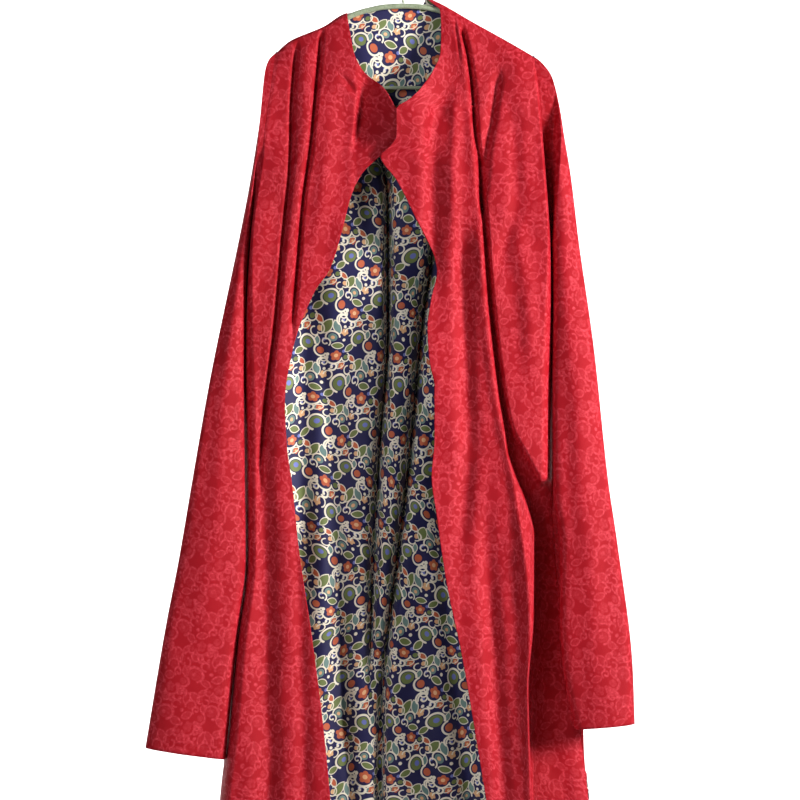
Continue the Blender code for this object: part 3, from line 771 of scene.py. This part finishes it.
red_jacquard, tree, shader = new_material(
    "red_jacquard",
    Specular_IOR_Level=0.16,
)
place = tree.nodes.new("ShaderNodeUVMap").outputs["UV"]
finer = vector(tree, "MULTIPLY", place, (-1.12, 1.05, 1))  # a mirrored, smaller figure than the lining's
figure = use_group(tree, scroll_design, {"Cloth": finer, "Softness": 1.2, "Line Weight": 0.5})
tone = figure["Line"]
for layer, share in (("Green", 0.3), ("Grey", 0.25), ("Russet", 0.45), ("Peach", 0.2), ("Blue", 0.7)):
    tone = number(tree, "MAXIMUM", tone, number(tree, "MULTIPLY", figure[layer], share))
threads = use_group(tree, weave, {"Cloth": place, "Pitch": 0.0011})["Height"]
uneven = noise(tree, place, 9, 2, "2D")
slub = noise(tree, place, 240, 1, "2D")
ground = mixed(tree, uneven, linear(143, 3, 18), linear(158, 7, 25))
figured = mixed(tree, slub, linear(164, 22, 36), linear(206, 64, 78))
tone = number(tree, "MULTIPLY", tone, number(tree, "MULTIPLY_ADD", slub, 0.9, 0.2))
colour = mixed(tree, tone, ground, figured)
feed(tree, shader.inputs["Base Color"], colour)
feed(tree, shader.inputs["Roughness"], number(tree, "MULTIPLY_ADD", tone, -0.14, 0.64))
feed(tree, shader.inputs["Normal"], bump(tree, threads, 0.00025, 0.6))

printed_lining, tree, shader = new_material(
    "printed_lining",
    Specular_IOR_Level=0.3,
    Sheen_Weight=0.1,
    Sheen_Roughness=0.5,
)
place = tree.nodes.new("ShaderNodeUVMap").outputs["UV"]
figure = use_group(tree, scroll_design, {"Cloth": place, "Softness": 0.35, "Line Weight": 0.0})
threads = use_group(tree, weave, {"Cloth": place, "Pitch": 0.0009})["Height"]
uneven = noise(tree, place, 14, 2, "2D")
colour = mixed(tree, uneven, linear(16, 14, 58), linear(34, 30, 84))
for layer, inner_colour, outer_colour in (
    ("Green", (84, 96, 48), (128, 140, 84)),
    ("Grey", (74, 104, 104), (132, 158, 150)),
    ("Russet", (176, 74, 44), (204, 112, 76)),
    ("Peach", (214, 158, 108), (232, 190, 146)),
    ("Blue", (84, 92, 170), (130, 138, 204)),
    ("Line", (224, 214, 192), (246, 238, 222)),
):
    tint = mixed(tree, uneven, linear(*inner_colour), linear(*outer_colour))
    colour = mixed(tree, figure[layer], colour, tint)
feed(tree, shader.inputs["Base Color"], colour)
feed(tree, shader.inputs["Roughness"], number(tree, "MULTIPLY_ADD", figure["Line"], -0.1, 0.58))
feed(tree, shader.inputs["Normal"], bump(tree, threads, 0.0002, 0.5))

back = back_points(181, row_shares(BACK_TURN, 240))
back_cloth = cloth("back_cloth", back, BACK_CLOTH, red_jacquard, red_jacquard, 90)
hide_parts("back")

# Lining of the back
# A navy brocade with ivory scrolls, leaves and flowers, cut a little smaller than the back and felled to it round
# the neck, the sides and above the hem. It shows inside the neck and between the open fronts.

LINING_GAP = 0.5
LINING_HEM = 15
inside = back[4:, 18:-18] - (BACK_CLOTH + LINING_GAP) * normals_of(back)[4:, 18:-18]
inside[-1, :, 2] += LINING_HEM
lining = cloth("back_lining_cloth", inside, LINING_CLOTH, printed_lining, printed_lining, 72, flip=True)
lining.modifiers["thickness"].offset = 1
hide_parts("back_lining")

# Fronts
# Two fronts of the same jacquard, each lined and turned along its free edge, which curves in at the neck, laps at
# the throat and then falls open. The right front's corner lies over the left one's.

EDGE_LEFT = table(
    "drop x",
    (82, -82),
    (110, -77),
    (142, -71),
    (168, -58),
    (193, -29),
    (209, -19),
    (222, -12),
    (239, 0),
    (265, -4),
    (280, -17),
    (293, -33),
    (319, -60),
    (348, -74),
    (401, -88),
    (457, -106),
    (488, -127),
    (573, -159),
    (649, -170),
    (712, -167),
    (764, -160),
    (876, -148),
    (993, -130),
    (1137, -112),
    (1224, -104),
    (1385, -92),
)
EDGE_RIGHT = table(
    "drop x",
    (60, 34),
    (67, 40),
    (80, 54),
    (110, 55),
    (142, 54),
    (168, 44),
    (193, 28),
    (209, 13),
    (219, -2),
    (223, -10),
    (265, -10),
    (280, -19),
    (293, -33),
    (328, -9),
    (380, 17),
    (438, 45),
    (459, 49),
    (497, 41),
    (542, 35),
    (590, 38),
    (625, 45),
    (702, 45),
    (754, 41),
    (809, 48),
    (905, 62),
    (1010, 84),
    (1144, 107),
    (1224, 120),
    (1385, 142),
)
# The right front's large fold: past its ridge the cloth drops into a hollow, a slot at first and lower down the
# deep room between front and sleeve.
RIDGE_RIGHT = table(
    "drop x until hollow",
    (330, 109, 115, 4),
    (371, 113, 120, 14),
    (497, 122, 130, 18),
    (635, 138, 147, 20),
    (689, 147, 158, 24),
    (723, 152, 176, 32),
    (761, 165, 196, 42),
    (799, 180, 216, 52),
    (840, 190, 250, 60),
    (961, 189, 260, 64),
    (1060, 181, 260, 66),
    (1224, 186, 260, 66),
    (1385, 191, 260, 66),
)
LAP = 22.0
# Left of the lap the left front sinks under it, from a nearly upright crease.
UNDER_LAP = table("drop x depth", (160, -62, 0), (178, -62, 15), (225, -66, 20), (262, -70, 16), (285, -72, 3))
FOLDS_LEFT = (
    fold(14, 3, 3.2, 16, 80, (98, -117), (184, -125), (272, -133), (361, -145), (449, -152), (530, -159)),
    fold(
        *(12, 3.6, 3.2, 60, 120),
        *((135, -154), (213, -160), (301, -162), (420, -173), (515, -181), (668, -199), (741, -206)),
    ),
    fold(-5, 12, 12, 60, 200, (125, -138), (301, -148), (420, -163), (600, -180)),
    fold(-3, 14, 14, 80, 200, (150, -96), (301, -112), (449, -128)),
    fold(3, 6, 6, 14, 14, (176, -88), (192, -76), (206, -66)),
    fold(12, 18, 16, 150, 150, (640, -205), (1010, -196), (1385, -190)),
    fold(6, 10, 12, 150, 150, (800, -152), (1040, -146), (1385, -138)),
)
FOLDS_RIGHT = (
    fold(3, 2, 2.5, 16, 30, (97, 75), (130, 80), (150, 82)),
    fold(-2, 7, 3, 20, 60, (97, 79), (130, 84), (174, 91), (232, 96), (371, 108)),
    fold(15, 3, 4, 16, 30, (110, 86), (152, 95), (203, 101), (253, 104), (304, 111), (371, 114)),
    fold(9, 8, 6, 40, 40, (174, 138), (239, 129), (283, 121), (350, 115)),
    fold(10, 11, 13, 60, 120, (209, 55), (265, 43), (412, 42), (460, 46)),
    fold(-5, 9, 9, 60, 200, (209, 76), (320, 72), (480, 74)),
    fold(10, 13, 13, 90, 200, (413, 84), (523, 88), (702, 93), (849, 84)),
    fold(3.5, 10, 12, 60, 60, (230, 158), (354, 164), (413, 149), (480, 133)),
    fold(-5, 14, 14, 120, 200, (420, 170), (600, 185)),
    fold(-4, 8, 4, 60, 200, (400, 109), (497, 117), (635, 132), (761, 158), (961, 182), (1385, 184)),
    fold(-8, 14, 6, 160, 160, (800, 172), (961, 181), (1180, 180)),
    fold(10, 12, 14, 200, 150, (840, 120), (1140, 138), (1385, 160)),
)


def front_points(edge, side, shoulder, folds, columns, rows, right):
    """Outer points of a front, rows from the shoulder line down, each from the free edge to the side."""
    sign = 1 if right else -1
    flat = 0.84

    def x_of(share, drop):
        x_edge = along(edge, "x", drop)
        x_turn = along(side, "x", drop) - sign * side_radius(drop)
        x = spread(share / flat, (0, x_edge), (1, x_turn))
        turn = np.clip((share - flat) / (1 - flat), 0, 1)
        return x + sign * side_radius(drop) * np.sin(turn * math.pi / 2)

    share = np.linspace(0, 1, columns)[None, :]
    top, drop = drops_of(x_of, shoulder, share, rows)
    below_top = drop - top
    x = x_of(share, drop)
    x_side = along(side, "x", drop)
    x_face = np.where(share > flat, x_side - sign * side_radius(drop), x)
    trough = fold_depth(folds, x_face, drop, below_top)
    trough += ripple(x_face, drop, 23 + sign, 1.3, 20, 110) * ramp(below_top / FOLD_RAMP)
    if right:
        past_ridge = ramp((x_face - along(RIDGE_RIGHT, "x", drop)) / 5 + 0.5)
        before_end = ramp((along(RIDGE_RIGHT, "until", drop) - x_face) / 6 + 0.5)
        trough += along(RIDGE_RIGHT, "hollow", drop) * past_ridge * before_end * ramp((drop - 330) / 40)
    else:
        under = (x - along(UNDER_LAP, "x", drop)) / 7 + 0.5
        rise = 1 - 1.8 * ramp((x - along(UNDER_LAP, "x", drop)) / 62)
        trough += along(UNDER_LAP, "depth", drop) * ramp(under) * rise
    y_face = -face_depth("front", FRONT_TURN, drop, below_top, trough)
    y_side = along(side, "seam_y", drop) - armhole_front(side, drop)
    turn = np.clip((share - flat) / (1 - flat), 0, 1)
    x, y = turned((x, y_face), x_side, y_side, drop, turn, -1)
    if right:
        lap = ramp((330 - drop) / 80) * ramp((70 - x) / 60)
        y = y - LAP * lap * ramp((drop - 110) / 70)
    return np.stack([x, y, -drop], axis=-1)


front_rows = row_shares(FRONT_TURN, 250)
left = front_points(EDGE_LEFT, SIDE_LEFT, SHOULDER_LEFT, FOLDS_LEFT, 131, front_rows, right=False)
front_left = cloth("front_left_cloth", left, CLOTH, red_jacquard, printed_lining, 60, lean=-3)
right = front_points(EDGE_RIGHT, SIDE_RIGHT, SHOULDER_RIGHT, FOLDS_RIGHT, 161, front_rows, right=True)
front_right = cloth("front_right_cloth", right, CLOTH, red_jacquard, printed_lining, 66, lean=3, flip=True)
for front, node, width, area in (
    (front_left, "front_left", 0.26, 0.225),
    (front_right, "front_right", 0.34, 0.285),
):
    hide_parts(node)

# Sleeves
# Each sleeve is one long piece folded at its outer crease and set on along the straight armhole. It hangs down the
# side of the body to a plain cuff.

SLEEVE_OUTER_LEFT = table(
    "drop x",
    (140, -184.3),
    (152, -195),
    (168, -200),
    (213, -205),
    (258, -211),
    (332, -223),
    (390, -234),
    (464, -249),
    (620, -280),
    (764, -305),
    (876, -324),
    (968, -342),
    (1146, -372),
)
SLEEVE_INNER_LEFT = table(
    "drop x forward",
    (420, -222.3, 0),
    (440, -225, 1),
    (520, -228, 11),
    (620, -230, 20),
    (874, -227, 26),
    (993, -240, 26),
    (1163, -256, 26),
)
SLEEVE_OUTER_RIGHT = table(
    "drop x",
    (146, 190.3),
    (155, 201),
    (178, 217),
    (209, 226),
    (265, 235),
    (320, 244),
    (412, 255),
    (568, 276),
    (760, 296),
    (850, 309),
    (1028, 331),
    (1111, 334),
)
SLEEVE_INNER_RIGHT = table(
    "drop x forward",
    (420, 214.3, 0),
    (440, 216, 2),
    (520, 217, 11),
    (620, 216, 20),
    (780, 217, 27),
    (850, 226, 30),
    (961, 226, 31),
    (1028, 230, 32),
    (1119, 247, 32),
)
# Along a sleeve, from the armhole at 0 to the cuff at 1: where its creases have got to, and how thick it is.
SLEEVE_RINGS = table(
    "share outer_run inner_run half_depth",
    (0.00, 0.00, 0.00, 15),
    (0.06, 0.05, 0.01, 21),
    (0.14, 0.14, 0.03, 25),
    (0.24, 0.27, 0.07, 26),
    (0.34, 0.39, 0.17, 26),
    (0.60, 0.62, 0.48, 26),
    (1.00, 1.00, 1.00, 28),
)
# around is 0 at the outer crease, 1 at the inner one and 2 at the outer again.
FOLDS_SLEEVE = table(
    "around start end width depth",
    (0.30, 0.15, 0.95, 0.16, 2.5),
    (0.66, 0.30, 1.20, 0.14, 3),
    (1.32, 0.12, 1.20, 0.11, 12),
    (1.66, 0.20, 0.90, 0.10, 9),
)


def sleeve_points(outer, inner, side, panels, rings, around, seed):
    """Outer points of a sleeve: rings that fan out from the armpit, then go down level to the cuff.

    The first ring lies just under the side edges of the two panels, the front's and the back's.
    """
    share = np.linspace(0, 1, rings)[:, None] ** 1.15
    turn = np.linspace(0, 2, around, endpoint=False)[None, :]
    outer_run = along(SLEEVE_RINGS, "outer_run", share, key="share")
    inner_run = along(SLEEVE_RINGS, "inner_run", share, key="share")
    outer_drop = outer["drop"][0] + outer_run * (outer["drop"][-1] - outer["drop"][0])
    inner_drop = inner["drop"][0] + inner_run * (inner["drop"][-1] - inner["drop"][0])
    across = (1 - np.cos(turn * math.pi)) / 2
    drop = outer_drop + (inner_drop - outer_drop) * across
    x_outer, x_inner = along(outer, "x", outer_drop), along(inner, "x", inner_drop)
    x = x_outer + (x_inner - x_outer) * across
    x_seam, y_seam = (
        np.where(turn < 1, *(np.interp(drop, -panel[:, 2], panel[:, axis]) for panel in panels)) for axis in (0, 1)
    )
    x = np.where(share == 0, x_seam - np.sign(side["x"][0]) * SEAM_TUCK, x)
    half_depth = along(SLEEVE_RINGS, "half_depth", share, key="share")
    fuller = 1 - 0.35 * ramp(share / 0.3)
    depth = half_depth * np.abs(np.sin(turn * math.pi)) ** fuller
    trough = ripple(turn * 160, drop, seed, 0.9, 30, 120, 0.2) * ramp(share / 0.1) * ramp(depth / 12)
    for centre, start, end, width, fold_size in zip(*FOLDS_SLEEVE.values()):
        fade = ramp((share - start) / 0.2) * ramp((end - share) / 0.2)
        trough += fold_size * fade * np.exp(-(((turn - centre) / width) ** 2))
    forward = along(inner, "forward", drop)
    y = -forward - np.sign(1 - turn) * np.maximum(depth - trough, 0.2 * depth)
    y = np.where(turn % 1 == 0, -forward, y)
    bend = along(BEND_LEFT if side["x"][0] < 0 else BEND_RIGHT, "bend", drop)
    y_seam = y_seam - np.sign(1 - turn) * (SEAM_PIERCE * bend - SEAM_UNDER)
    y = y + (y_seam - y) * ramp((0.11 - share) / 0.06) * (drop < ARMPIT_DROP)
    return np.stack([x, y, -drop], axis=-1)


SEAM_TUCK, SEAM_PIERCE, SEAM_UNDER = 2.5, 3.0, 0.8
CUFF_RING = -4  # the ring of points that a cuff is sewn along
stitch_lines = [left[3:, 4], right[3:, 5], left[-4, 4:-6], right[-4, 5:-6], back[-4, 8:-8]]
for name, outer, inner, side, front, back_column, seed, lean in (
    ("sleeve_left", SLEEVE_OUTER_LEFT, SLEEVE_INNER_LEFT, SIDE_LEFT, left, 0, 41, -6.3),
    ("sleeve_right", SLEEVE_OUTER_RIGHT, SLEEVE_INNER_RIGHT, SIDE_RIGHT, right, -1, 43, 4.9),
):
    points = sleeve_points(outer, inner, side, (front[:, -1], back[:, back_column]), 221, 120, seed)
    flip = name == "sleeve_left"
    sleeve = cloth(name + "_cloth", points, CLOTH, red_jacquard, printed_lining, 30, lean, True, flip)
    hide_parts(name)
    stitch_lines.append(np.concatenate([points[CUFF_RING], points[CUFF_RING, :1]]))

# Pick stitches
# The fronts' turned edges, the hem and the cuffs are hand-felled to the lining with one thread in the cloth's own
# red, which shows as a row of small dashes on the right side.

STITCH_SPACING, STITCH_LENGTH, STITCH_THICKNESS = 8.0, 3.0, 0.55
STITCH_UNEVENNESS, STITCH_SEED = 0.18, 5

red_thread, tree, shader = new_material("red_thread", Roughness=0.45, Specular_IOR_Level=0.3)
place = tree.nodes.new("ShaderNodeTexCoord").outputs["Object"]
strands = noise(tree, place, 900, 2)
feed(tree, shader.inputs["Base Color"], mixed(tree, strands, linear(120, 4, 18), linear(176, 28, 42)))
feed(tree, shader.inputs["Normal"], bump(tree, strands, 0.0001, 0.5))

stitch_row = bpy.data.node_groups.new("stitch_row", "GeometryNodeTree")
sockets = {
    name: stitch_row.interface.new_socket(name, in_out=way, socket_type="NodeSocket" + kind)
    for name, way, kind in (
        ("Lines", "INPUT", "Geometry"),
        ("Spacing", "INPUT", "Float"),
        ("Length", "INPUT", "Float"),
        ("Thickness", "INPUT", "Float"),
        ("Unevenness", "INPUT", "Float"),
        ("Seed", "INPUT", "Int"),
        ("Stitches", "OUTPUT", "Geometry"),
    )
}
takes = stitch_row.nodes.new("NodeGroupInput").outputs
tree = stitch_row
as_curve = tree.nodes.new("GeometryNodeMeshToCurve")
feed(tree, as_curve.inputs[0], takes["Lines"])
spaced = tree.nodes.new("GeometryNodeResampleCurve")
spaced.mode = "LENGTH"
feed(tree, spaced.inputs["Curve"], as_curve.outputs[0])
feed(tree, spaced.inputs["Length"], takes["Spacing"])
along_line = tree.nodes.new("FunctionNodeAlignEulerToVector")
feed(tree, along_line.inputs["Vector"], tree.nodes.new("GeometryNodeInputTangent").outputs[0])
one_stitch = tree.nodes.new("GeometryNodeMeshUVSphere")
one_stitch.inputs["Segments"].default_value = 6
one_stitch.inputs["Rings"].default_value = 5
one_stitch.inputs["Radius"].default_value = 0.5
uneven_by = tree.nodes.new("FunctionNodeRandomValue")
feed(tree, uneven_by.inputs["Min"], number(tree, "SUBTRACT", 1.0, takes["Unevenness"]))
feed(tree, uneven_by.inputs["Max"], number(tree, "ADD", 1.0, takes["Unevenness"]))
feed(tree, uneven_by.inputs["Seed"], takes["Seed"])
size_of = tree.nodes.new("ShaderNodeCombineXYZ")
feed(tree, size_of.inputs["X"], number(tree, "MULTIPLY", takes["Length"], uneven_by.outputs["Value"]))
feed(tree, size_of.inputs["Y"], takes["Thickness"])
feed(tree, size_of.inputs["Z"], takes["Thickness"])
sewn = tree.nodes.new("GeometryNodeInstanceOnPoints")
feed(tree, sewn.inputs["Points"], spaced.outputs[0])
feed(tree, sewn.inputs["Instance"], one_stitch.outputs["Mesh"])
feed(tree, sewn.inputs["Rotation"], along_line.outputs[0])
feed(tree, sewn.inputs["Scale"], size_of.outputs[0])
real = tree.nodes.new("GeometryNodeRealizeInstances")
feed(tree, real.inputs[0], sewn.outputs[0])
in_thread = tree.nodes.new("GeometryNodeSetMaterial")
feed(tree, in_thread.inputs["Geometry"], real.outputs[0])
in_thread.inputs["Material"].default_value = red_thread
feed(tree, tree.nodes.new("NodeGroupOutput").inputs["Stitches"], in_thread.outputs[0])

line_points = [line * MM for line in stitch_lines]
starts = np.cumsum([0] + [len(line) for line in line_points])
line_edges = [
    (k, k + 1) for first, line in zip(starts, line_points) for k in range(first, first + len(line) - 1)
]
lines_mesh = bpy.data.meshes.new("stitch_lines")
lines_mesh.from_pydata(np.concatenate(line_points).tolist(), line_edges, [])
stitches = placed("pick_stitches", lines_mesh)
sewing = stitches.modifiers.new("sewing", "NODES")
sewing.node_group = stitch_row
for socket, value in (
    ("Spacing", STITCH_SPACING * MM),
    ("Length", STITCH_LENGTH * MM),
    ("Thickness", STITCH_THICKNESS * MM),
    ("Unevenness", STITCH_UNEVENNESS),
    ("Seed", STITCH_SEED),
):
    sewing[sockets[socket].identifier] = value
evaluated = stitches.evaluated_get(bpy.context.evaluated_depsgraph_get())
sewn_mesh = bpy.data.meshes.new_from_object(evaluated)
stitches.modifiers.clear()
stitches.data = sewn_mesh
sewn_mesh.shade_smooth()
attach(stitches, "root")

# Studio
# A plain pale floor that curves up behind. A soft key light comes level from the right, a weaker fill from the
# left, and a third light whitens the backdrop.

FLOOR_DROP = 1.75
sweep = [(-6.0, 0.0), (2.2, 0.0)]
sweep += [(2.2 + 1.2 * math.sin(a), 1.2 - 1.2 * math.cos(a)) for a in np.radians(np.arange(6, 91, 6))]
sweep += [(3.4, 6.0)]
floor_mesh = bpy.data.meshes.new("floor")
corners = [(x, y, z - FLOOR_DROP) for y, z in sweep for x in (-6.0, 6.0)]
strips = [(2 * k, 2 * k + 1, 2 * k + 3, 2 * k + 2) for k in range(len(sweep) - 1)]
floor_mesh.from_pydata(corners, [], strips)
floor_mesh.shade_smooth()
pale, tree, shader = new_material("pale_floor", Roughness=0.9)
place = tree.nodes.new("ShaderNodeTexCoord").outputs["Object"]
floor_colour = mixed(tree, noise(tree, place, 3), linear(244, 244, 244), linear(248, 248, 248))
feed(tree, shader.inputs["Base Color"], floor_colour)
placed("floor", floor_mesh, pale)


def soft_light(name, place, target, size, power, colour, spread=180):
    light = bpy.data.lights.new(name, "AREA")
    light.shape = "DISK"
    light.size = size
    light.energy = power
    light.color = colour
    light.spread = math.radians(spread)
    made = bpy.data.objects.new(name, light)
    scene.collection.objects.link(made)
    made.location = place
    way = np.array(target) - np.array(place)
    made.rotation_euler = (math.atan2(math.hypot(way[0], way[1]), -way[2]), 0, math.atan2(-way[0], way[1]))


MIDDLE = (0, 0, -0.6)
soft_light("key", (2.75, -1.6, 0.0), MIDDLE, 0.8, 44, (1, 0.98, 0.96), spread=80)
soft_light("fill", (-1.6, -2.8, 0.4), MIDDLE, 1.6, 10, (0.96, 0.98, 1), spread=80)
soft_light("backdrop_light", (0, 1.2, 2.4), (0, 3.4, -0.2), 3.0, 160, (1, 1, 1), spread=110)

world = bpy.data.worlds.new("studio")
world.use_nodes = True
world.node_tree.nodes["Background"].inputs["Color"].default_value = (0.95, 0.97, 1, 1)
world.node_tree.nodes["Background"].inputs["Strength"].default_value = 0.035
scene.world = world
scene.view_settings.view_transform = "Standard"

camera_data = bpy.data.cameras.new("camera")
camera_data.lens = 123.8
camera_data.sensor_width = 36
camera = bpy.data.objects.new("camera", camera_data)
scene.collection.objects.link(camera)
camera.location = (-0.0044, -4.0, -0.645)
camera.rotation_euler = (math.pi / 2, 0, 0)
scene.camera = camera
